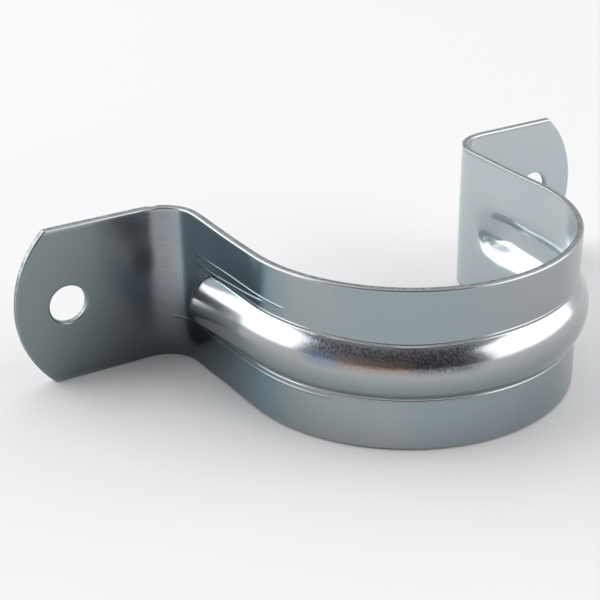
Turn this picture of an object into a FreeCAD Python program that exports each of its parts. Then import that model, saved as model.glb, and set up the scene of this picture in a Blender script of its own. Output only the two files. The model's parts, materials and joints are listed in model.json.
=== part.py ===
import FreeCAD, Part

import math
import os

from FreeCAD import Vector

# Two-hole conduit strap, bent and pressed from one strip of zinc-plated steel.
# X runs along the feet, the wall is the plane y = 0 and the arch stands out towards -Y.
# Z is the conduit's axis, so the strap stands on its lower side edge.
# The origin is the middle of the two screw holes, on the wall plane.

# Driving dimensions, in millimetres
strip_width = 30.0
sheet = 1.3
bore_radius = 30.6          # inside of the arch, for a conduit of 60.3 outside diameter
inside_depth = 59.2         # wall plane to the inside of the arch's crown
bend_radius = 6.0           # hollow side of the bend between leg and foot
overall_length = 128.0
hole_spacing = 108.0
hole_radius = 3.6
foot_end_radius = 20.5
corner_radius = 0.6
bead_width = 10.4           # between the two creases, on the outside
bead_height = 1.85
bead_stop = 5.4             # from the centre of the bead's round end to the start of the bend
crease_radius = 0.45        # along both creases of the bead, on the outside
edge_draw = 0.3             # each side edge is pulled in where the bead is pressed
edge_draw_length = 14.5
sheared_edge = 0.25         # the shears leave the edges of the outer face broken this much

# Worked-out places
half_width = strip_width / 2
outer_radius = bore_radius + sheet
arch_y = bore_radius - inside_depth
bend_y = -sheet - bend_radius
bend_x = outer_radius + bend_radius
hollow_crease_radius = crease_radius + sheet
half_length = overall_length / 2
corner_x = half_length - foot_end_radius + math.sqrt(foot_end_radius ** 2 - half_width ** 2)
clearance = 5.0             # how far cutting blocks stand past the strap


def arc(centre, radius, start, end):
    """Arc in the XY plane, from the start angle to the end angle in degrees."""
    points = []
    for angle in (start, (start + end) / 2, end):
        turn = math.radians(angle)
        points.append(Vector(centre.x + radius * math.cos(turn), centre.y + radius * math.sin(turn), 0))
    return Part.Arc(*points).toShape()


def line(start, end):
    return Part.LineSegment(start, end).toShape()


def face_path(depth):
    """Right half of the strip's path, for the face that lies this deep below the outer one."""
    crown = Vector(0, arch_y, 0)
    bend = Vector(bend_x, bend_y, 0)
    radius = outer_radius - depth
    foot_y = -sheet + depth
    return [
        arc(crown, radius, -90, 0),
        line(Vector(radius, arch_y, 0), Vector(radius, bend_y, 0)),
        arc(bend, bend_radius + depth, 180, 90),
        line(Vector(bend_x, foot_y, 0), Vector(half_length, foot_y, 0)),
    ]


def mirrored(shape):
    return shape.mirror(Vector(0, 0, 0), Vector(1, 0, 0))


def bent_strip():
    """The strip bent to shape, still square at its ends."""
    right = face_path(0) + face_path(sheet)
    edges = right + [mirrored(edge) for edge in right]
    for x in (-half_length, half_length):
        edges.append(line(Vector(x, -sheet, 0), Vector(x, 0, 0)))
    profile = Part.Face(Part.Wire(Part.__sortEdges__(edges)))
    profile.translate(Vector(0, 0, -half_width))
    return profile.extrude(Vector(0, 0, strip_width))


def end_outline():
    """Block with the round foot ends, seen square to the wall."""
    top = half_width + clearance
    edges = []
    for side in (-1, 1):
        low = Vector(side * corner_x, 0, -half_width)
        tip = Vector(side * half_length, 0, 0)
        high = Vector(side * corner_x, 0, half_width)
        edges.append(Part.Arc(low, tip, high).toShape())
        edges.append(line(high, Vector(side * corner_x, 0, top)))
        edges.append(line(low, Vector(side * corner_x, 0, -top)))
    for z in (-top, top):
        edges.append(line(Vector(-corner_x, 0, z), Vector(corner_x, 0, z)))
    face = Part.Face(Part.Wire(Part.__sortEdges__(edges)))
    face.translate(Vector(0, clearance, 0))
    return face.extrude(Vector(0, -inside_depth - sheet - 2 * clearance, 0))


def side_outline():
    """Block with the drawn-in side edges, seen along the feet."""
    drawn = half_width - edge_draw
    start_y = bend_y
    end_y = bend_y - edge_draw_length
    low_y = -inside_depth - sheet - clearance
    edges = []
    for side in (-1, 1):
        wide = Vector(0, start_y, side * half_width)
        narrow = Vector(0, end_y, side * drawn)
        pull = Vector(0, -edge_draw_length / 3, 0)
        curve = Part.BezierCurve()
        curve.setPoles([wide, wide + pull, narrow - pull, narrow])
        edges.append(curve.toShape())
        edges.append(line(Vector(0, clearance, side * half_width), wide))
        edges.append(line(narrow, Vector(0, low_y, side * drawn)))
    edges.append(line(Vector(0, clearance, -half_width), Vector(0, clearance, half_width)))
    edges.append(line(Vector(0, low_y, -drawn), Vector(0, low_y, drawn)))
    face = Part.Face(Part.Wire(Part.__sortEdges__(edges)))
    face.translate(Vector(-half_length - clearance, 0, 0))
    return face.extrude(Vector(overall_length + 2 * clearance, 0, 0))


def lens(crown_x, radius, floor_x):
    """Half of a bead's section at y = 0: a round crown down to a flat floor, above z = 0."""
    centre_x = crown_x - radius
    mouth = math.sqrt(radius ** 2 - (floor_x - centre_x) ** 2)
    middle = math.atan2(mouth, floor_x - centre_x) / 2
    crown = Vector(crown_x, 0, 0)
    shoulder = Vector(centre_x + radius * math.cos(middle), 0, radius * math.sin(middle))
    foot = Vector(floor_x, 0, mouth)
    heel = Vector(floor_x, 0, 0)
    edges = [Part.Arc(crown, shoulder, foot).toShape(), line(foot, heel), line(heel, crown)]
    return Part.Face(Part.Wire(edges))


def whole_section(half):
    other = half.mirror(Vector(0, 0, 0), Vector(0, 0, 1))
    return half.fuse(other).removeSplitter()


def bead(crown_x, radius, floor_x):
    """The bead over arch and legs, with round ends; its section is given where a leg starts."""
    half = lens(crown_x, radius, floor_x)
    half.translate(Vector(0, arch_y, 0))
    section = whole_section(half)
    arch = section.revolve(Vector(0, arch_y, 0), Vector(0, 0, 1), -180)
    run = bend_y - bead_stop - arch_y
    right_leg = section.extrude(Vector(0, run, 0))
    stop = half.copy()
    stop.translate(Vector(0, run, 0))
    right_end = stop.revolve(Vector(0, arch_y + run, 0), Vector(1, 0, 0), 360)
    right = right_leg.fuse(right_end)
    return arch.fuse([right, mirrored(right)]).removeSplitter()


def circle_radius(chord, rise):
    return (chord ** 2 / 4 + rise ** 2) / (2 * rise)


def screw_hole(side):
    start = Vector(side * hole_spacing / 2, clearance, 0)
    return Part.makeCylinder(hole_radius, sheet + 2 * clearance, start, Vector(0, -1, 0))


def edges_where(body, test):
    """Edges whose two ends and middle all pass the test."""
    chosen = []
    for edge in body.Edges:
        first, last = edge.ParameterRange
        points = [edge.valueAt(first), edge.valueAt((first + last) / 2), edge.valueAt(last)]
        if all(test(point) for point in points):
            chosen.append(edge)
    return chosen


def crease_edges(body, depth):
    """Edges where the bead, or its hollow, rises from the strip's face at this depth."""
    reach = bead_width / 2 + sheet

    def on_crease(point):
        across = abs(point.x)
        if point.y < arch_y:
            across = math.hypot(point.x, point.y - arch_y)
        off = across - (outer_radius - depth)
        return abs(off) < sheet / 3 and abs(point.z) < reach and point.y < bend_y + bend_radius / 2
    return edges_where(body, on_crease)


def outer_depth(point):
    """How deep a point on the strip lies below the strip's outer face."""
    across = abs(point.x)
    if across > bend_x:
        return point.y + sheet
    if point.y > bend_y:
        return math.hypot(across - bend_x, point.y - bend_y) - bend_radius
    if point.y > arch_y:
        return outer_radius - across
    return outer_radius - math.hypot(across, point.y - arch_y)


def sheared_edges(body):
    """Outer-face edges of the long sides, the foot ends with their corners, and the holes."""
    near = sheared_edge / 4

    def on_cut(point):
        across = abs(point.x)
        height = abs(point.z)
        side = height > half_width - edge_draw - near
        end = abs(math.hypot(across - half_length + foot_end_radius, height) - foot_end_radius) < near
        corner = across > corner_x - corner_radius and height > half_width - corner_radius
        hole = abs(math.hypot(across - hole_spacing / 2, height) - hole_radius) < near
        return abs(outer_depth(point)) < near and (side or end or corner or hole)
    return edges_where(body, on_cut)


def foot_corners(body):
    """The short edges through the sheet where the foot ends meet the long sides."""
    near = sheared_edge / 4

    def on_corner(point):
        return abs(abs(point.x) - corner_x) < near and abs(abs(point.z) - half_width) < near
    return edges_where(body, on_corner)


def formed_strip():
    """The bent strip with its outline, holes and sheared edges, before the bead is pressed."""
    body = bent_strip().common(end_outline()).common(side_outline())
    body = body.cut([screw_hole(-1), screw_hole(1)])
    body = body.makeFillet(corner_radius, foot_corners(body))
    return body.makeChamfer(sheared_edge, sheared_edges(body))


def strap():
    crown_radius = circle_radius(bead_width, bead_height)
    crown = outer_radius + bead_height
    body = formed_strip().fuse(bead(crown, crown_radius, outer_radius - sheet / 2))
    body = body.cut(bead(crown - sheet, crown_radius - sheet, bore_radius - sheet))
    body = body.removeSplitter()
    body = body.makeFillet(crease_radius, crease_edges(body, 0))
    return body.makeFillet(hollow_crease_radius, crease_edges(body, sheet))


def main():
    os.makedirs("parts", exist_ok=True)
    shape = strap()
    print("valid", shape.isValid(), "solids", len(shape.Solids), "volume", round(shape.Volume, 1))
    shape.exportStep("parts/strap.step")


main()
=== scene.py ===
import json
import math

import bmesh
import bpy
import numpy as np
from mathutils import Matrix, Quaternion, Vector


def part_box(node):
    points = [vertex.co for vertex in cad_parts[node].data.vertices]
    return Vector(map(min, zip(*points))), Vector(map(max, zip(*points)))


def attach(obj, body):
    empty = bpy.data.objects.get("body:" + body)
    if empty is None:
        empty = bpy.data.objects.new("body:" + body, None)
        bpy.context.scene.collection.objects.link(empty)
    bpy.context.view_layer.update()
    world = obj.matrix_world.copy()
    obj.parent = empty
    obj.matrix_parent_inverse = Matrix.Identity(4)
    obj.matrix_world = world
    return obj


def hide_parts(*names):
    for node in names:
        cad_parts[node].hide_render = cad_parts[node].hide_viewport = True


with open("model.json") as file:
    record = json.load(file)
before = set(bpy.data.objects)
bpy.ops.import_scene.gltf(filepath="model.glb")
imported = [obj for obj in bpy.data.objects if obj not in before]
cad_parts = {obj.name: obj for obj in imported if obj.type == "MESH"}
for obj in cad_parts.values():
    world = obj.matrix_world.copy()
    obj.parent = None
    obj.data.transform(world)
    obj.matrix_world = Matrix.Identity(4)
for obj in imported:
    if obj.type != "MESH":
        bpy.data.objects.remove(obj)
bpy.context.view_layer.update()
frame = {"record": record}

# Zinc-plated conduit strap: the pressed strip as one fine surface, its plated finish, and a plain studio.
# X runs along the feet, the wall is y = 0, the arch stands out towards -Y, Z is the conduit's axis.

mm = 0.001


# The mount of this name in the part's record.
def mountOf(name):
    return next(m for m in frame["record"]["mounts"] if m["name"] == name)


# 0 below edge0, 1 above edge1, and 3t^2 - 2t^3 between them.
def smooth(edge0, edge1, x):
    t = np.clip((x - edge0) / (edge1 - edge0), 0.0, 1.0)
    return t * t * (3 - 2 * t)


saddle = mountOf("conduit_saddle")
screws = mountOf("screw_holes")
lowCorner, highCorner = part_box("strap")

strip = {
    "boreRadius": saddle["dims"]["r_mm"] * mm,
    "archY": saddle["pos_m"][1],
    "holeX": screws["dims"]["spacing_x_mm"] * mm / 2,
    "holeRadius": screws["dims"]["hole_r_mm"] * mm,
    "tipX": highCorner[0],
    "halfWidth": highCorner[2],
    "sheet": 1.3 * mm,
    "leftBend": 6.0 * mm,          # hollow side of each bend; the right one is a little easier
    "rightBend": 7.6 * mm,
    "bendEasing": 3.5 * mm,        # length over which each bend starts and stops
    "endRadius": 20.5 * mm,
    "cornerEase": 0.12 * mm,       # where a foot's round end meets its sides
    "edgeDraw": 0.3 * mm,          # side edges pulled in where the bead is pressed
    "edgeDrawLength": 14.5 * mm,
    "drawClear": 3.4 * mm,         # the pull starts this far beside the bead
    "drawRim": 1.0 * mm,           # and is full this far from the side edge
    "flangeDish": 0.15 * mm,       # flanges sink a little beside the bead
    "rollOver": 0.25 * mm,         # sheared edges of the outer face
    "rollReach": 0.38 * mm,
    "innerRollOver": 0.06 * mm,
    "innerRollReach": 0.1 * mm,
    "nick": 0.22 * mm,             # small dent in the upper edge, by the left bend
    "nickAt": -79.3 * mm,
    "nickReach": 0.55 * mm,
    "nickFrom": 13.6 * mm,         # height on the strip where the dent starts
}
strip["outerRadius"] = strip["boreRadius"] + strip["sheet"]

bead = {
    "width": 10.4 * mm,
    "height": 1.85 * mm,           # round the arch, where bending has drawn it down
    "legHeight": 4.1 * mm,         # where the left end starts
    "riseFrom": -17.0 * mm,        # where it starts to rise, counted from the arch's end
    "risePower": 2.0,
    "riseCap": 1.15,               # most of the rise, against its value where the end starts
    "crease": 0.25 * mm,
    "legRun": 12.6 * mm,           # arch to where the bead's end starts
    "leftEnd": 3.4 * mm,           # length of the blunt end on the left leg
    "leftPower": 3.2,
    "endWall": 0.9 * mm,           # the hollow's blunt end stops this much sooner
    "rightRun": 12.0 * mm,         # the right end is drawn out, lower, and fades over this stretch
    "rightStretch": 1.6,
    "rightShare": 0.85,
    "rightFade": (8.5 * mm, 19.0 * mm),
    "rightLeft": 0.05,             # share of the height left at the end of the fade
    "hollowFlat": 2.3 * mm,        # half width of the flat the punch leaves at the hollow's bottom
    "hollowEdge": 7.0 * mm,        # where the hollow runs out on the inner face
    "hollowCorner": 0.35 * mm,
    "hollowFall": 2.6,
    "swellHeight": 0.25 * mm,      # soft run-out past the bead's end
    "swellLead": 3.0 * mm,
    "swellReach": 9.0 * mm,
    "swellWidth": 6.5 * mm,
    "ridgeHeight": 0.1 * mm,       # metal pushed up beside each crease by the die
    "ridgeWidth": 0.17 * mm,
    "ridgeGap": 0.42 * mm,
    "ridgeFade": 4.16 * mm,
    # burrs on the upper crease: place along the strip, half length and height
    "burrs": ((-31.0 * mm, 1.1 * mm, 0.15 * mm), (-19.6 * mm, 0.6 * mm, 0.22 * mm),
              (-17.0 * mm, 1.6 * mm, 0.12 * mm), (-34.5 * mm, 0.7 * mm, 0.1 * mm)),
    "burrGap": 0.05 * mm,
    "burrWidth": 0.22 * mm,
    "wander": 0.85 * mm,           # how far the upper crease strays towards the middle
    "wanderAt": -19.0 * mm,
    "wanderReach": 15.0 * mm,
    "wanderFade": (0.8 * mm, 7.0 * mm),    # above the crease
}

mesh = {
    "pathStep": 0.02 * mm,
    "pathSpare": 5.0 * mm,         # path worked out past each tip
    "archStep": 0.8 * mm,
    "legStep": 0.55 * mm,
    "domeStep": 0.32 * mm,         # round the bead's end, from before its stop to past it
    "domeFrom": 2.0 * mm,
    "domeTo": 7.0 * mm,
    "bendStep": 0.42 * mm,
    "footStep": 1.0 * mm,
    "tipMargin": 0.9 * mm,
    "tipGaps": np.array([0.6, 0.42, 0.3, 0.21, 0.13, 0.065, 0.02, 0.0]) * mm,
    "crownStep": 0.48 * mm,        # across the strip: bead, crease, beside it, flange, cut edge
    "creaseStep": 0.09 * mm,
    "creaseReach": 0.9 * mm,
    "besideStep": 0.13 * mm,
    "besideReach": 2.9 * mm,
    "flangeStep": 0.7 * mm,
    "sideMargin": 0.8 * mm,
    "sideGaps": np.array([0.55, 0.38, 0.27, 0.19, 0.12, 0.06, 0.02, 0.0]) * mm,
    "holeMargin": 1.6 * mm,
    "holeGaps": np.array([0.65, 0.4, 0.28, 0.19, 0.12, 0.06, 0.02, 0.0]) * mm,
    "rimShares": (0.12, 0.3, 0.5, 0.7, 0.88),      # rows through the sheet on its cut edges
    "doubles": 0.0005 * mm,
}

archLength = strip["outerRadius"] * math.pi / 2
beadStop = archLength + bead["legRun"]
endCentreX = strip["tipX"] - strip["endRadius"]


# Sizes of one half of the strip and its outer face seen along Z. The heading turns by 1/R along the
# arch, stays along the leg and turns back over the bend, is averaged over the easing length, and is
# summed to give the points, which are then eased to end on the leg and foot planes.
def halfStrip(bendRadius):
    legEnd = archLength - strip["sheet"] - bendRadius - strip["archY"]
    footStart = legEnd + bendRadius * math.pi / 2
    footX = strip["outerRadius"] + bendRadius
    step = mesh["pathStep"]
    s = np.arange(0.0, footStart + strip["tipX"] - footX + mesh["pathSpare"], step)
    heading = np.minimum(s, archLength) / strip["outerRadius"]
    heading = heading - np.clip(s - legEnd, 0, footStart - legEnd) / bendRadius
    window = 2 * int(strip["bendEasing"] / step / 2) + 1
    padded = np.pad(heading, window // 2, mode="reflect", reflect_type="odd")
    heading = np.convolve(padded, np.ones(window) / window, mode="valid")
    x = np.concatenate([[0], np.cumsum(np.cos(heading[:-1]) * step)])
    y = np.concatenate([[0], np.cumsum(np.sin(heading[:-1]) * step)])
    y += strip["archY"] - strip["outerRadius"]
    turned = smooth(0, archLength, s)
    x += (footX - np.interp(footStart, s, x)) * turned
    y += (-strip["sheet"] - y[-1]) * turned
    return {"legEnd": legEnd, "footStart": footStart, "footX": footX,
            "table": (s, x, y, np.sin(heading), -np.cos(heading))}


halves = {-1: halfStrip(strip["leftBend"]), 1: halfStrip(strip["rightBend"])}


# A size of the left half where s is negative, and of the right half elsewhere.
def sized(s, name):
    return np.where(s < 0, halves[-1][name], halves[1][name])


# Point of the outer face and its outward normal at the distance s from the crown, either way.
def pathAt(s):
    found = []
    for side in (-1, 1):
        table = halves[side]["table"]
        found.append([np.interp(np.abs(s), table[0], column) for column in table[1:]])
    x, y, nx, ny = (np.where(s < 0, left, right) for left, right in zip(*found))
    sign = np.where(s < 0, -1.0, 1.0)
    return x * sign, y, nx * sign, ny


# X of a point of the flat foot, counted outwards: the foot's first x plus the way past its start.
def footPlace(s):
    return sized(s, "footX") + np.abs(s) - sized(s, "footStart")


# Height of the outer face over the flat sheet at the distance d from the bead's middle: a round
# crown, a fillet in the crease and the flat, which meet along common tangents.
def beadProfile(d, rise):
    half, fillet = bead["width"] / 2, bead["crease"]
    radius = (half ** 2 + rise ** 2) / (2 * rise)
    low = radius - rise
    filletD = np.sqrt((radius + fillet) ** 2 - (low + fillet) ** 2)
    crown = np.sqrt(np.maximum(radius ** 2 - d ** 2, 0)) - low
    crease = fillet - np.sqrt(np.maximum(fillet ** 2 - (filletD - d) ** 2, 0))
    return np.where(d < filletD * radius / (radius + fillet), crown, np.where(d < filletD, crease, 0))


# Depth of the hollow inside: a flat bottom, a softened corner, and a flank that falls as a power of
# the distance left to its outer edge.
def hollowProfile(d, depth):
    wide = bead["hollowEdge"] - bead["hollowFlat"]
    over = d - bead["hollowFlat"]
    over = 0.5 * (over + np.sqrt(over ** 2 + bead["hollowCorner"] ** 2))
    return depth * np.clip(1 - over / wide, 0, 1) ** bead["hollowFall"]


# Distance from the bead's middle line, sqrt(z^2 + e^2). Past the stop e grows as a power of the way on
# the left, which gives a blunt end, and is the way over a stretch on the right, which gives a long one.
def beadDistance(s, z, inside):
    t = np.abs(s)
    stop = beadStop - (bead["endWall"] if inside else 0)
    blunt = bead["width"] / 2 * (np.maximum(t - stop, 0) / bead["leftEnd"]) ** bead["leftPower"]
    drawn = np.maximum(t - archLength - bead["rightRun"], 0) / bead["rightStretch"]
    return np.hypot(z, np.where(s < 0, blunt, drawn))


# Height of the bead at s: the arch's own, plus a power of the way to the bead's end, up to a cap. On
# the right it gains less, and fades out along the leg.
def beadRise(s):
    t = np.abs(s) - archLength
    way = np.maximum((t - bead["riseFrom"]) / (bead["legRun"] - bead["riseFrom"]), 0)
    gained = np.minimum(way ** bead["risePower"], bead["riseCap"])
    gained = gained * np.where(s > 0, bead["rightShare"], 1.0)
    rise = bead["height"] + (bead["legHeight"] - bead["height"]) * gained
    faded = 1 - (1 - bead["rightLeft"]) * smooth(*bead["rightFade"], t)
    return rise * np.where(s > 0, faded, 1.0)


# Soft run-out past the bead's end: it comes up before the stop, fades over its reach, and falls off
# to both sides as exp(-w^4).
def swellAt(s, z):
    t = np.abs(s)
    along = smooth(beadStop - bead["swellLead"], beadStop, t)
    along = along * (1 - smooth(beadStop, beadStop + bead["swellReach"], t))
    return bead["swellHeight"] * along * np.exp(-(z / bead["swellWidth"]) ** 4)


# How far the flanges sink: fully beside the crease, and not at all at the side edges, on the bead and
# past the bends.
def sinkAt(s, z, d, rise):
    formed = 1 - smooth(sized(s, "legEnd"), sized(s, "footStart"), np.abs(s))
    beside = smooth(strip["halfWidth"], bead["width"] / 2, np.abs(z))
    offBead = 1 - np.clip(beadProfile(d, rise) / bead["height"], 0, 1)
    return strip["flangeDish"] * formed * beside * offBead


# Metal pushed up by the die: exp(-w^2) over the distance from the crease, which runs out past the
# bead's stop, and a small bell exp(-a^2 - w^2) for each burr on the upper crease.
def pushedUp(s, z, d):
    off = (d - bead["width"] / 2 - bead["ridgeGap"]) / bead["ridgeWidth"]
    past = np.maximum(np.abs(s) - beadStop, 0)
    height = bead["ridgeHeight"] * np.exp(-off ** 2) * np.clip(1 - past / bead["ridgeFade"], 0, 1)
    off = (z - bead["width"] / 2 - bead["burrGap"]) / bead["burrWidth"]
    for place, reach, burr in bead["burrs"]:
        height = height + burr * np.exp(-((s - place) / reach) ** 2 - off ** 2)
    return height


# Height along the outward normal, for the outer face or the inner one: the bead or its hollow and
# the swell, joined as the cube root of the sum of their cubes, less the sink of the flanges.
def faceHeight(s, z, inside):
    d, rise = beadDistance(s, z, inside), beadRise(s)
    pressed = hollowProfile(d, rise) if inside else beadProfile(d, rise)
    height = np.cbrt(pressed ** 3 + swellAt(s, z) ** 3) - sinkAt(s, z, d, rise)
    return height - strip["sheet"] if inside else height + pushedUp(s, z, d)


# How far the upper crease strays down: a bell along the arch, a ramp up to the crease, fading above it.
def creaseStray(s, z):
    half = bead["width"] / 2
    bell = np.exp(-((s - bead["wanderAt"]) / bead["wanderReach"]) ** 2)
    ramp = np.clip(z / half, 0, 1) * (1 - smooth(*bead["wanderFade"], z - half))
    return bead["wander"] * bell * ramp


# Depth of the nick: exp(-w^2) along the strip, and a smooth rise up to the upper edge.
def nickDepth(s, z):
    bell = np.exp(-((s - strip["nickAt"]) / strip["nickReach"]) ** 2)
    return strip["nick"] * bell * smooth(strip["nickFrom"], strip["halfWidth"], z)


# How far the side edges are pulled in: fully along the arch, easing to nothing where the leg ends.
def sideDraw(s):
    legEnd = sized(s, "legEnd")
    return strip["edgeDraw"] * (1 - smooth(legEnd - strip["edgeDrawLength"], legEnd, np.abs(s)))


# Places from a start through stretches, each given by its end and its step, rounded to a whole count.
def stretches(start, parts):
    places = [np.array([start])]
    for stop, size in parts:
        first = places[-1][-1]
        count = max(1, int(round((stop - first) / size)))
        places.append(np.linspace(first, stop, count + 1)[1:])
    return np.concatenate(places)


# Rows from the middle to one edge, close together at the crease and at the cut edge, then both sides.
def acrossRows():
    crease = bead["width"] / 2
    rows = stretches(0, (
        (crease - mesh["creaseReach"], mesh["crownStep"]),
        (crease + mesh["creaseReach"], mesh["creaseStep"]),
        (crease + mesh["besideReach"], mesh["besideStep"]),
        (strip["halfWidth"] - mesh["sideMargin"], mesh["flangeStep"]),
    ))
    rows = np.concatenate([rows, strip["halfWidth"] - mesh["sideGaps"]])
    return np.concatenate([-rows[:0:-1], rows])


# Columns from the crown to one tip, as distances along the strip. Past the bend they are shares of
# the foot's length, added to the distance where the foot starts.
def alongColumns(half):
    body = stretches(0, (
        (archLength, mesh["archStep"]),
        (beadStop - mesh["domeFrom"], mesh["legStep"]),
        (beadStop + mesh["domeTo"], mesh["domeStep"]),
        (half["footStart"], mesh["bendStep"]),
    ))
    length = strip["tipX"] - half["footX"]
    foot = stretches(0, ((1 - mesh["tipMargin"] / length, mesh["footStep"] / length),))[1:]
    ends = 1 - mesh["tipGaps"] / length
    return np.concatenate([body, half["footStart"] + np.concatenate([foot, ends])])


# Flat strip as a grid of s and z: side edges drawn in, feet stretched to their round ends.
def flatGrid():
    columns = np.concatenate([-alongColumns(halves[-1])[:0:-1], alongColumns(halves[1])])
    column, row = np.meshgrid(columns, acrossRows(), indexing="ij")
    t, start = np.abs(column), sized(column, "footStart")
    footLength = endCentreX + np.sqrt(strip["endRadius"] ** 2 - row ** 2) - sized(column, "footX")
    t = np.where(t > start, start + (t - start) * footLength, t)
    s = np.where(column < 0, -t, t)
    drawFrom = bead["width"] / 2 + strip["drawClear"]
    pulled = smooth(drawFrom, strip["halfWidth"] - strip["drawRim"], np.abs(row))
    return s, row - np.sign(row) * sideDraw(s) * pulled


# How far a point of the flat strip lies from the nearest cut edge, with the corners eased: the
# smooth least of two distances, (a + b - sqrt((a - b)^2 + e^2) + e) / 2.
def edgeDistance(s, z):
    side = strip["halfWidth"] - sideDraw(s) - np.abs(z)
    end = strip["endRadius"] - np.hypot(footPlace(s) - endCentreX, z)
    ease = strip["cornerEase"]
    near = 0.5 * (side + end - np.sqrt((side - end) ** 2 + ease ** 2) + ease)
    near = np.clip(near, 0, np.minimum(side, end))
    return np.where(np.abs(s) > sized(s, "footStart"), near, side)


# How far a point of a foot lies from the edge of its hole.
def holeDistance(s, z):
    return np.hypot(footPlace(s) - strip["holeX"], z) - strip["holeRadius"]


# Quarter-ellipse that a sheared edge drops by: the full depth at the edge, nothing past the reach.
def rolled(distance, depth, reach):
    t = np.clip(1 - distance / reach, 0, 1)
    return depth * (1 - np.sqrt(1 - t ** 2))


# Points in space of the outer or the inner face: path point plus its normal times the height there.
def facePoints(s, z, inside):
    x, y, nx, ny = pathAt(s)
    height = faceHeight(s, z, inside)
    nearest = np.minimum(edgeDistance(s, z), np.maximum(holeDistance(s, z), 0))
    if inside:
        height = height + rolled(nearest, strip["innerRollOver"], strip["innerRollReach"])
    else:
        height = height - rolled(nearest, strip["rollOver"], strip["rollReach"])
    z = z - creaseStray(s, z) - nickDepth(s, z)
    return np.stack([x + nx * height, y + ny * height, z], axis=-1)


# Rings of flat points from a block's outline in to the hole: two that pass from the outline to a
# circle, a third of the way each, then circles that close up towards the hole's edge.
def holeRings(loopS, loopZ, side):
    placeX = footPlace(loopS)
    angle = np.arctan2(loopZ, placeX - strip["holeX"])
    radii = strip["holeRadius"] + mesh["holeGaps"]
    circles = [(strip["holeX"] + np.cos(angle) * r, np.sin(angle) * r) for r in radii]
    outerX, outerZ = circles[0]
    passing = [(placeX + (outerX - placeX) * share, loopZ + (outerZ - loopZ) * share)
               for share in (1 / 3, 2 / 3)]
    back = halves[side]["footStart"] - halves[side]["footX"]
    return [(side * (ringX + back), ringZ) for ringX, ringZ in passing + circles]


# Quads between neighbouring grid points, leaving out the cells marked in skip.
def gridFaces(index, skip):
    a, b, c, d = index[:-1, :-1], index[1:, :-1], index[1:, 1:], index[:-1, 1:]
    keep = ~skip
    return np.stack([a[keep], b[keep], c[keep], d[keep]], axis=-1)


# Quads between two closed rings of points with the same count.
def bandFaces(first, second):
    return np.stack([first, np.roll(first, -1), np.roll(second, -1), second], axis=-1)


# The closed ring of grid points round the block of cells i0..i1, j0..j1.
def blockLoop(index, i0, i1, j0, j1):
    return np.concatenate([
        index[i0:i1, j0], index[i1, j0:j1], index[i1:i0:-1, j1], index[i0, j1:j0:-1]
    ])


# First and last column and row of the grid within reach of one foot's hole.
def holeBlock(s, z, side):
    middle = s[:, s.shape[1] // 2]
    reach = strip["holeRadius"] + mesh["holeMargin"]
    onFoot = middle * side > halves[side]["footStart"]
    columns = np.nonzero(onFoot & (np.abs(footPlace(middle) - strip["holeX"]) < reach))[0]
    rows = np.nonzero(np.abs(z[columns[0]]) < reach)[0]
    return columns[0], columns[-1], rows[0], rows[-1]


# The flat strip with its two holes: grid points, then each hole's rings, the quads between them, and
# the closed rings of points along the holes and round the strip.
def flatSheet():
    s, z = flatGrid()
    index = np.arange(s.size).reshape(s.shape)
    skip = np.zeros((s.shape[0] - 1, s.shape[1] - 1), bool)
    flatS, flatZ = [s.ravel()], [z.ravel()]
    faces, rims = [], []
    count = s.size
    for side in (-1, 1):
        i0, i1, j0, j1 = holeBlock(s, z, side)
        skip[i0:i1, j0:j1] = True
        ring = blockLoop(index, i0, i1, j0, j1)
        for ringS, ringZ in holeRings(flatS[0][ring], flatZ[0][ring], side):
            inner = np.arange(count, count + len(ring))
            flatS.append(ringS)
            flatZ.append(ringZ)
            faces.append(bandFaces(ring, inner))
            ring = inner
            count += len(ring)
        rims.append(ring)
    rims.append(blockLoop(index, 0, s.shape[0] - 1, 0, s.shape[1] - 1))
    faces.insert(0, gridFaces(index, skip))
    return np.concatenate(flatS), np.concatenate(flatZ), np.concatenate(faces), rims


# Closed sheet: outer face, inner face, and bands along the rims, straight from one face to the other.
# With the points come their places along and across the strip and their share of the way through it.
# Grid points inside the holes, which no face uses, are dropped and the rest numbered afresh.
def strapMesh():
    flatS, flatZ, faces, rims = flatSheet()
    outer, inner = facePoints(flatS, flatZ, False), facePoints(flatS, flatZ, True)
    count = len(flatS)
    points, quads = [outer, inner], [faces, faces[:, ::-1] + count]
    along, across = [flatS, flatS], [flatZ, flatZ]
    through = [np.zeros(count), np.ones(count)]
    total = 2 * count
    for rim in rims:
        previous = rim
        for share in mesh["rimShares"]:
            ring = np.arange(total, total + len(rim))
            points.append(outer[rim] + (inner[rim] - outer[rim]) * share)
            along.append(flatS[rim])
            across.append(flatZ[rim])
            through.append(np.full(len(rim), share))
            quads.append(bandFaces(previous, ring))
            previous = ring
            total += len(rim)
        quads.append(bandFaces(previous, rim + count))
    used, numbers = np.unique(np.concatenate(quads), return_inverse=True)
    kept = [np.concatenate(parts)[used] for parts in (points, along, across, through)]
    return numbers.reshape(-1, 4), *kept


# Smooth-shaded mesh object from an array of points and one of four point numbers for each face.
def meshObject(name, points, quads):
    data = bpy.data.meshes.new(name)
    data.vertices.add(len(points))
    data.vertices.foreach_set("co", points.ravel())
    data.loops.add(quads.size)
    data.loops.foreach_set("vertex_index", quads.ravel())
    data.polygons.add(len(quads))
    data.polygons.foreach_set("loop_start", np.arange(0, quads.size, 4))
    data.update(calc_edges=True)
    data.validate()
    data.polygons.foreach_set("use_smooth", np.ones(len(data.polygons), bool))
    piece = bpy.data.objects.new(name, data)
    bpy.context.collection.objects.link(piece)
    return piece


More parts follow.
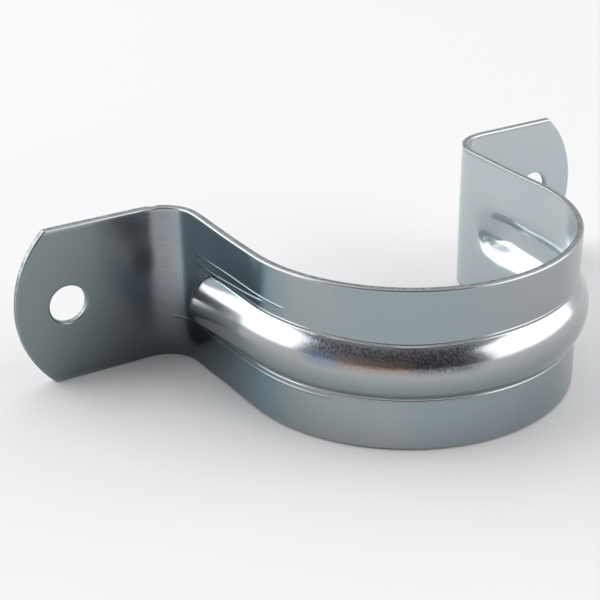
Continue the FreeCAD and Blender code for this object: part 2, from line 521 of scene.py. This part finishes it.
# Merges doubles and turns every face to the outside of the closed sheet.
def pointOutwards(piece):
    work = bmesh.new()
    work.from_mesh(piece.data)
    bmesh.ops.remove_doubles(work, verts=work.verts, dist=mesh["doubles"])
    bmesh.ops.recalc_face_normals(work, faces=work.faces)
    work.to_mesh(piece.data)
    work.free()


quads, points, along, across, through = strapMesh()
strapPiece = meshObject("pressedStrap", points, quads)
for name, values in (("along", along), ("across", across), ("through", through)):
    attribute = strapPiece.data.attributes.new(name, "FLOAT", "POINT")
    attribute.data.foreach_set("value", values)
pointOutwards(strapPiece)
print("strap surface:", len(strapPiece.data.vertices), "points,", len(strapPiece.data.polygons), "faces")


# A number that varies over the surface, so that sums read as sums.
class Num:

    def __init__(self, nodes, socket):
        self.nodes, self.socket = nodes, socket

    # A Math node on this number and, where given, another one, which comes first when swapped.
    def math(self, operation, other=None, swap=False):
        values = [self.socket] if other is None else [self.socket, getattr(other, "socket", other)]
        if swap:
            values.reverse()
        return self.nodes.make("ShaderNodeMath", {"operation": operation}, dict(enumerate(values)))

    def __add__(self, other):
        return self.math("ADD", other)

    def __radd__(self, other):
        return self.math("ADD", other, True)

    def __sub__(self, other):
        return self.math("SUBTRACT", other)

    def __rsub__(self, other):
        return self.math("SUBTRACT", other, True)

    def __mul__(self, other):
        return self.math("MULTIPLY", other)

    def __rmul__(self, other):
        return self.math("MULTIPLY", other, True)

    def __truediv__(self, other):
        return self.math("DIVIDE", other)

    def __rtruediv__(self, other):
        return self.math("DIVIDE", other, True)

    # From start to end, smoothly, as the number goes from low to high.
    def step(self, low, high, start=0.0, end=1.0):
        settings = {"interpolation_type": "SMOOTHSTEP"}
        return self.nodes.make("ShaderNodeMapRange", settings, {0: self, 1: low, 2: high, 3: start, 4: end})

    # From 0 to 1 as the number passes the first pair of values, and back to 0 as it passes the second.
    def between(self, rising, falling):
        return self.step(*rising) * self.step(*falling, 1.0, 0.0)

    # The number, but never more than 1.
    def most(self):
        return self.math("MINIMUM", 1.0)


# The node tree of a new material, or of the world given instead.
class Nodes:

    def __init__(self, name, owner=None):
        self.material = owner or bpy.data.materials.new(name)
        self.material.use_nodes = True
        self.tree = self.material.node_tree
        self.tree.nodes.clear()

    # One node: its settings first, then values or links on its sockets, and the output asked for.
    def make(self, kind, settings=None, inputs=None, out=0):
        node = self.tree.nodes.new(kind)
        for key, value in (settings or {}).items():
            setattr(node, key, value)
        for key, value in (inputs or {}).items():
            value = getattr(value, "socket", value)
            if isinstance(value, bpy.types.NodeSocket):
                self.tree.links.new(value, node.inputs[key])
            else:
                node.inputs[key].default_value = value
        return Num(self, node.outputs[out]) if len(node.outputs) else None

    # Between two colours, by a share from 0 to 1.
    def mix(self, share, first, second):
        settings = {"data_type": "RGBA"}
        return self.make("ShaderNodeMix", settings, {0: share, 6: first, 7: second}, out=2)

    # Noise from 0 to 1 over the vector given, or over the object's own space.
    def noise(self, scale, detail, roughness, vector=None):
        vector = vector or self.make("ShaderNodeTexCoord", out=3)
        inputs = {"Vector": vector, "Scale": scale, "Detail": detail, "Roughness": roughness}
        return self.make("ShaderNodeTexNoise", {}, inputs)


zinc = {
    "plain": (0.36, 0.385, 0.39, 1),
    "cool": (0.31, 0.365, 0.39, 1),
    "violet": (0.25, 0.25, 0.275, 1),       # left bend
    "teal": (0.23, 0.325, 0.37, 1),         # left leg: painted shade, darker and cooler where it reflects the dim front-left
    "light": (0.50, 0.56, 0.585, 1),        # inside and on the right foot: painted light, lighter where the reflections are brighter
    "bead": (0.40, 0.415, 0.425, 1),        # polished by the die
    "beadSide": (0.31, 0.37, 0.385, 1),     # left foot: painted shade, darker where it reflects the shadowed floor
    "foot": (0.22, 0.265, 0.275, 1),        # the bead's lower side: painted shade, darker where it faces down
    # dark streaks on the cut edges, and painted shade low on the left leg and foot
    "stain": (0.13, 0.155, 0.175, 1),
    # the next three colours are a painted reflection of the unlit room in front, on the upper bead
    "blueFilm": (0.17, 0.24, 0.36, 1),
    "brownFilm": (0.36, 0.25, 0.19, 1),
    "darkFilm": (0.10, 0.095, 0.12, 1),
    "cut": (0.36, 0.37, 0.375, 1),
    "roughness": 0.22,
    "cutRoughness": 0.42,
    "lineRoughness": 0.2,                   # more on the hair lines, less on the bead, and varied by noise
    "beadRoughness": 0.04,
    "patchRoughness": 0.1,
    "grainRoughness": 0.1,

    # how strongly each colour lies over the ones before it
    "shares": {
        # painted shade on the left foot
        "foot": 0.9,
        "violet": 0.35,
        "violetStreaks": 0.55,
        "teal": 0.65,
        "tealPatches": 0.5,
        "light": 0.9,
        "bead": 0.85,
        # worn rims and creases, and a painted highlight on the hair lines
        "worn": 0.8,
        # painted shade low on the left leg and foot
        "stain": 0.8,
        "stainOffBead": 0.6,
        "beadSide": 0.8,
        # painted reflection on the upper bead, mottled by noise
        "film": 0.45,
        "filmPeel": 0.5,
        "darkTop": 0.9,
        "smear": 0.6,
        "border": 0.6,
    },

    # masks through the sheet, from 0 on the outer face to 1 on the inner one
    "cutFrom": (0.02, 0.1),
    "cutTo": (0.9, 0.98),
    "insideFrom": (0.9, 1.0),
    "smearTo": (0.3, 0.4),                  # the bright part of a sheared edge, by the outer face
    "borderTo": (0.1, 0.22),                # its dark borders
    "borderFrom": (0.78, 0.9),

    # masks in millimetres along the strip, counted from the crown, with the left side negative
    "beadStart": (-70.0, -67.5),
    "beadEnd": (58.0, 70.0),
    # painted shade on the left foot
    "footTo": (-86.0, -80.0),
    "bendFrom": (-94.0, -86.0),
    "bendTo": (-78.0, -74.0),
    # painted shade and cool reflection on the left leg
    "tealFrom": (-77.0, -71.0),
    "tealTo": (-48.0, -38.0),
    # painted light on the right foot
    "lightFrom": (52.0, 64.0),
    "creaseWearTo": (62.0, 65.0),
    # painted shade low on the left leg and foot
    "stainFrom": (-104.0, -84.0),
    "stainTo": (-68.0, -46.0),
    # stretch of the upper bead where a reflection is painted
    "scuffFrom": (-39.0, -33.0),
    "scuffTo": (-11.0, -5.0),
    "brownFrom": (-32.0, -28.0),
    "darkFrom": (-20.0, -16.0),

    # masks in millimetres across the strip, counted from its middle
    "beadHalf": (4.6, 5.4),
    "creaseWearFrom": (5.0, 5.4),
    "creaseWearOut": (5.6, 6.0),
    "rimWear": (14.0, 14.6),
    # painted shade low on the left leg and foot: how far up it reaches
    "stainUp": (-9.0, 4.0),
    # painted shade on the bead's lower side
    "beadSideUp": (-3.0, 1.0),
    # painted reflection: how far up the bead it starts
    "scuffUp": (-0.2, 1.5),
    "darkUp": (2.4, 3.6),

    # noise: scale for each metre, detail and roughness
    "clouds": (38.0, 4.0, 0.5),
    "patches": (95.0, 4.0, 0.6),
    "waves": (260.0, 2.0, 0.5),
    "fine": (1500.0, 2.0, 0.5),
    "peel": (2300.0, 3.0, 0.65),
    "grain": (4200.0, 2.0, 0.5),
    "drawnOut": (1.0, 3.0, 0.6),
    # what drawn-out noise is laid over: turns for each millimetre along and across, and for the way through
    "streaks": (2.6, 0.35, 0.5),
    "drawn": (0.25, 6.0, 0.0),
    "cloudEdge": (0.38, 0.66),
    "drawnEdge": (0.35, 0.65),
    "peelEdge": (0.4, 0.6),
    "streakEdge": (0.35, 0.7),

    # hair lines left by the die: place across, half width, ends along and height of the ridge in mm, then
    # where the line bows or climbs, and by how much
    "upperLine": {"z": 7.84, "width": 0.12, "ends": (-71.0, -40.5), "height": 0.2,
                  "bowAt": -52.0, "bow": 0.047},
    "creaseLine": {"z": 5.77, "width": 0.13, "ends": (-70.5, -46.0), "height": 0.3,
                   "bowAt": -70.0, "bow": 0.0625, "bowShare": 0.7},
    "lowerLine": {"z": -6.95, "width": 0.13, "ends": (-77.0, -30.0), "height": 0.1,
                  "climbOver": (-60.0, -44.0), "climb": 0.45},
    "lineFade": (1.5, 3.0),                 # millimetres over which a line starts and stops

    # bump heights in millimetres
    "grainDepth": 0.0016,
    "fineDepth": 0.0016,
    "waveDepth": 0.012,
    "drawnDepth": 0.0012,
    "bendDepth": 0.01,
    "polishDepth": 0.003,
    "scuffDepth": 0.022,
    "cutDepth": 0.05,
    "cutStreakDepth": 0.14,
}


# The strip's own places, in millimetres along and across and as a share of the way through, and the
# masks of the inner face, the cut edges, the left bend, the bead and the stretch of the bead where a
# reflection is painted.
def stripPlaces(n):
    def stored(name, scale):        # attribute over scale
        return n.make("ShaderNodeAttribute", {"attribute_name": name}, out=2) / scale

    s, z, through = stored("along", mm), stored("across", mm), stored("through", 1.0)
    onCut = through.between(zinc["cutFrom"], zinc["cutTo"])
    inside = through.step(*zinc["insideFrom"])
    onBead = z.math("ABSOLUTE").step(*zinc["beadHalf"], 1.0, 0.0)
    onBead = onBead * s.between(zinc["beadStart"], zinc["beadEnd"]) * (1 - inside) * (1 - onCut)
    bend = s.between(zinc["bendFrom"], zinc["bendTo"]) * (1 - inside)
    # where a reflection of the unlit room is painted on the upper bead
    scuffed = onBead * z.step(*zinc["scuffUp"]) * s.between(zinc["scuffFrom"], zinc["scuffTo"])
    return {"s": s, "z": z, "through": through, "onCut": onCut, "inside": inside, "onBead": onBead,
            "bend": bend, "scuffed": scuffed}


# Every noise of the finish: even ones in the object's space, and two drawn out on the strip itself.
def zincNoises(n, at):
    noises = {}
    for name in ("clouds", "patches", "waves", "fine", "peel", "grain"):
        noises[name] = n.noise(*zinc[name])
    for name in ("streaks", "drawn"):
        along, across, through = zinc[name]
        turns = {0: at["s"] * along, 1: at["z"] * across, 2: at["through"] * through}
        noises[name] = n.noise(*zinc["drawnOut"], n.make("ShaderNodeCombineXYZ", {}, turns))
    return noises


# Hair lines on the outer face, each exp(-w^2) of the distance from its own curve, faded at both ends:
# one bows down as a cube, one up as a square, and one climbs smoothly by a step.
def hairLines(at):
    s, z = at["s"], at["z"]
    upper, crease, lower = zinc["upperLine"], zinc["creaseLine"], zinc["lowerLine"]
    upperBow = ((s - upper["bowAt"]).math("ABSOLUTE") * upper["bow"]).math("POWER", 3.0)
    creaseBow = ((s - crease["bowAt"]) * crease["bow"]).math("POWER", 2.0) * crease["bowShare"]
    curves = (
        (upper, upper["z"] - upperBow),
        (crease, crease["z"] + creaseBow),
        (lower, lower["z"] + s.step(*lower["climbOver"], 0.0, lower["climb"])),
    )
    startFade, stopFade = zinc["lineFade"]
    lines = []
    for line, curve in curves:
        start, stop = line["ends"]
        off = (z - curve) / line["width"]
        shown = s.between((start, start + startFade), (stop - stopFade, stop)) * (1 - at["inside"])
        lines.append(((off * off * -1.0).math("EXPONENT") * shown, line["height"]))
    return lines


# Bright metal where the plating is worn, on the rims and a narrow band along each crease, and a painted
# highlight on the hair lines.
def wornMetalAndLineHighlight(at, onLines):
    absZ = at["z"].math("ABSOLUTE")
    nearCrease = absZ.between(zinc["creaseWearFrom"], zinc["creaseWearOut"]) * (1 - at["inside"])
    nearCrease = nearCrease * at["s"].math("ABSOLUTE").step(*zinc["creaseWearTo"], 1.0, 0.0)
    return (absZ.step(*zinc["rimWear"]) + nearCrease + onLines).most()


# Painted reflection of the unlit room in front, on the upper bead: blue, then brown, then near-black along
# the strip, and near-black at the top.
def paintedReflectionColour(n, at):
    film = n.mix(at["s"].step(*zinc["brownFrom"]), zinc["blueFilm"], zinc["brownFilm"])
    film = n.mix(at["s"].step(*zinc["darkFrom"]), film, zinc["darkFilm"])
    return n.mix(at["z"].step(*zinc["darkUp"]) * zinc["shares"]["darkTop"], film, zinc["darkFilm"])


# Cut edge: streaks through the sheet, a brighter smear by the outer face, and dark borders.
def cutColour(n, at, noises):
    through, shares = at["through"], zinc["shares"]
    cut = n.mix(noises["streaks"].step(*zinc["streakEdge"]), zinc["stain"], zinc["cut"])
    cut = n.mix(through.step(*zinc["smearTo"], shares["smear"], 0.0), cut, zinc["plain"])
    borders = through.step(*zinc["borderTo"], 1.0, 0.0) + through.step(*zinc["borderFrom"])
    return n.mix(borders * shares["border"], cut, zinc["stain"])


# Base colour: clouded zinc with one layer after another mixed over it, each by its mask times its share.
def zincColour(n, at, noises, onLines):
    s, z, inside, onBead, shares = at["s"], at["z"], at["inside"], at["onBead"], zinc["shares"]
    streaked = shares["violet"] + noises["drawn"].step(*zinc["drawnEdge"]) * shares["violetStreaks"]
    patched = shares["teal"] + noises["patches"] * shares["tealPatches"]
    # share of the painted reflection, mottled by noise
    mottledReflection = shares["film"] + noises["peel"].step(*zinc["peelEdge"]) * shares["filmPeel"]
    # painted shade low on the left leg and foot, less on the bead
    cornerShade = s.between(zinc["stainFrom"], zinc["stainTo"]) * z.step(*zinc["stainUp"], 1.0, 0.0)
    cornerShade = cornerShade * (1 - inside) * (1 - onBead * shares["stainOffBead"])
    layers = (
        # painted shade on the left foot
        (s.step(*zinc["footTo"], 1.0, 0.0) * shares["foot"], zinc["foot"]),
        (at["bend"] * streaked, zinc["violet"]),
        # painted shade and cool reflection on the left leg, varied by patches
        (s.between(zinc["tealFrom"], zinc["tealTo"]) * patched, zinc["teal"]),
        # painted light inside and on the right foot
        ((s.step(*zinc["lightFrom"]) + inside).most() * shares["light"], zinc["light"]),
        (onBead * shares["bead"], zinc["bead"]),
        # worn rims and creases, and a painted highlight on the hair lines
        (wornMetalAndLineHighlight(at, onLines) * shares["worn"], zinc["bead"]),
        # painted shade low on the left leg and foot
        (cornerShade * shares["stain"], zinc["stain"]),
        # painted shade on the bead's lower side
        (onBead * z.step(*zinc["beadSideUp"], shares["beadSide"], 0.0), zinc["beadSide"]),
        # painted reflection of the unlit room on the upper bead
        (at["scuffed"] * mottledReflection, paintedReflectionColour(n, at)),
        (at["onCut"], cutColour(n, at, noises)),
    )
    colour = n.mix(noises["clouds"].step(*zinc["cloudEdge"]), zinc["cool"], zinc["plain"])
    for share, layer in layers:
        colour = n.mix(share, colour, layer)
    return colour


# Roughness: the plain one, varied by patches and grain, lower on the bead, higher on cuts and hair lines.
def zincRoughness(at, noises, onLines):
    rough = zinc["roughness"] + (noises["patches"] - 0.5) * zinc["patchRoughness"]
    rough = rough + (noises["grain"] - 0.5) * zinc["grainRoughness"] - at["onBead"] * zinc["beadRoughness"]
    rough = rough + at["onCut"] * (zinc["cutRoughness"] - zinc["roughness"])
    return rough + onLines * zinc["lineRoughness"]


# Bump height in millimetres: the sum of every noise and hair line, each times its depth where it shows.
def zincHeight(at, noises, lines):
    onPeel = at["onBead"] * zinc["polishDepth"] + at["scuffed"] * zinc["scuffDepth"]
    onPeel = onPeel + at["onCut"] * zinc["cutDepth"]
    height = noises["grain"] * zinc["grainDepth"] + noises["fine"] * zinc["fineDepth"]
    height = height + noises["waves"] * zinc["waveDepth"]
    height = height + noises["drawn"] * (zinc["drawnDepth"] + at["bend"] * zinc["bendDepth"])
    height = height + noises["peel"] * onPeel + noises["streaks"] * at["onCut"] * zinc["cutStreakDepth"]
    for line, ridge in lines:
        height = height + line * ridge
    return height


# Zinc plate: metal with the colour, roughness and bump worked out above.
def zincPlate():
    n = Nodes("zincPlate")
    at = stripPlaces(n)
    noises = zincNoises(n, at)
    lines = hairLines(at)
    onLines = (lines[0][0] + lines[1][0] + lines[2][0]).most()
    height = zincHeight(at, noises, lines)
    bump = n.make("ShaderNodeBump", {}, {"Strength": 1.0, "Distance": mm, "Height": height})
    shader = n.make("ShaderNodeBsdfPrincipled", {}, {
        "Base Color": zincColour(n, at, noises, onLines),
        "Metallic": 1.0,
        "Roughness": zincRoughness(at, noises, onLines),
        "Normal": bump,
    })
    n.make("ShaderNodeOutputMaterial", {}, {"Surface": shader})
    return n.material


strapPiece.data.materials.append(zincPlate())
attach(strapPiece, "root")
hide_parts("strap")
print("zinc finish made")


studio = {
    "floorColour": (0.78, 0.78, 0.78, 1),
    "floorReach": 5.0,          # metres each way
    "dimRoom": 0.5,             # walls on the left
    "paleRoom": 0.9,            # walls at the back right
    "paleAzimuth": 135.0,
    "wallsTurn": (-0.6, 0.5),   # from dim to pale, as the cosine of the angle from the pale side
    "darkAzimuth": -22.0,       # where the room is unlit, in front
    "darkElevation": 8.0,
    "darkFrom": 0.45,           # cosine of the angle at which the unlit part ends
    "darkShare": 0.67,
    # name, azimuth from the front, elevation, width and height in degrees, distance in metres, radiance
    "panels": (
        ("backLeftPanel", -132, 21, 72, 42, 1.3, 2.6),
        ("rightPanel", 51, 20, 68, 42, 1.3, 2.3),
        ("topPanel", -155, 64, 60, 26, 1.3, 0.9),
    ),
    "azimuth": -31.64,          # camera: degrees round from the front
    "elevation": 25.23,
    "roll": -0.38,
    "distance": 268.6 * mm,
    "aim": (-16.2 * mm, 11.8 * mm, -1.5 * mm),     # from the middle of the object's box
    "lens": 87.86,
    "seenFrom": 0.01,           # metres from the camera
    "seenTo": 20.0,
}


# Unit vector towards an azimuth round from the front and an elevation above the floor.
def towards(azimuth, elevation):
    a, e = math.radians(azimuth), math.radians(elevation)
    return Vector((math.sin(a) * math.cos(e), -math.cos(a) * math.cos(e), math.sin(e)))


# Pale matt square under the strap, as far each way as its reach.
def plainFloor():
    reach, z = studio["floorReach"], lowCorner[2]
    corners = np.array([[-reach, -reach, z], [reach, -reach, z], [reach, reach, z], [-reach, reach, z]])
    floor = meshObject("floor", corners, np.array([[0, 1, 2, 3]]))
    n = Nodes("paleFloor")
    shader = n.make("ShaderNodeBsdfDiffuse", {}, {"Color": studio["floorColour"]})
    n.make("ShaderNodeOutputMaterial", {}, {"Surface": shader})
    floor.data.materials.append(n.material)


# Panel of light that faces the strap and covers the angles given. Watts = pi * area * radiance.
def panel(name, azimuth, elevation, wide, high, distance, radiance):
    away = towards(azimuth, elevation)
    lamp = bpy.data.lights.new(name, "AREA")
    lamp.shape = "RECTANGLE"
    lamp.size = 2 * distance * math.tan(math.radians(wide / 2))
    lamp.size_y = 2 * distance * math.tan(math.radians(high / 2))
    lamp.energy = math.pi * lamp.size * lamp.size_y * radiance
    holder = bpy.data.objects.new(name, lamp)
    holder.location = away * distance + Vector((0, strip["archY"], 0))
    holder.rotation_mode = "QUATERNION"
    holder.rotation_quaternion = (-away).to_track_quat("-Z", "Y")
    holder.visible_camera = False
    bpy.context.collection.objects.link(holder)


# Room light: dim walls that turn pale on one side, less a share in front, (c - from) / (1 - from),
# where c is the cosine of the angle from the middle of the unlit part.
def room():
    world = bpy.data.worlds.new("room")
    world.use_nodes = True
    n = Nodes("room", world)
    place = n.make("ShaderNodeTexCoord", out=0)

    def facing(azimuth, elevation):         # cosine of the angle from a direction
        return n.make("ShaderNodeVectorMath", {"operation": "DOT_PRODUCT"},
                      {0: place, 1: towards(azimuth, elevation)}, out=1)

    walls = facing(studio["paleAzimuth"], 0)
    walls = walls.step(*studio["wallsTurn"], studio["dimRoom"], studio["paleRoom"])
    unlit = facing(studio["darkAzimuth"], studio["darkElevation"]) - studio["darkFrom"]
    unlit = (unlit / (1 - studio["darkFrom"])).math("MAXIMUM", 0.0)
    strength = walls * (1 - unlit * studio["darkShare"])
    light = n.make("ShaderNodeBackground", {}, {"Color": (1, 1, 1, 1), "Strength": strength})
    n.make("ShaderNodeOutputWorld", {}, {"Surface": light})
    bpy.context.scene.world = world


# Camera on the line through the aim point, at the azimuth and elevation given, then rolled.
def camera():
    back = towards(studio["azimuth"], studio["elevation"])
    middle = (Vector(lowCorner) + Vector(highCorner)) / 2
    data = bpy.data.cameras.new("camera")
    data.lens = studio["lens"]
    data.clip_start, data.clip_end = studio["seenFrom"], studio["seenTo"]
    holder = bpy.data.objects.new("camera", data)
    holder.location = middle + Vector(studio["aim"]) + back * studio["distance"]
    holder.rotation_mode = "QUATERNION"
    turn = (-back).to_track_quat("-Z", "Y")
    holder.rotation_quaternion = turn @ Quaternion((0, 0, 1), math.radians(studio["roll"]))
    bpy.context.collection.objects.link(holder)
    bpy.context.scene.camera = holder


plainFloor()
for values in studio["panels"]:
    panel(*values)
room()
camera()
bpy.context.scene.view_settings.view_transform = "Standard"
print("studio made")
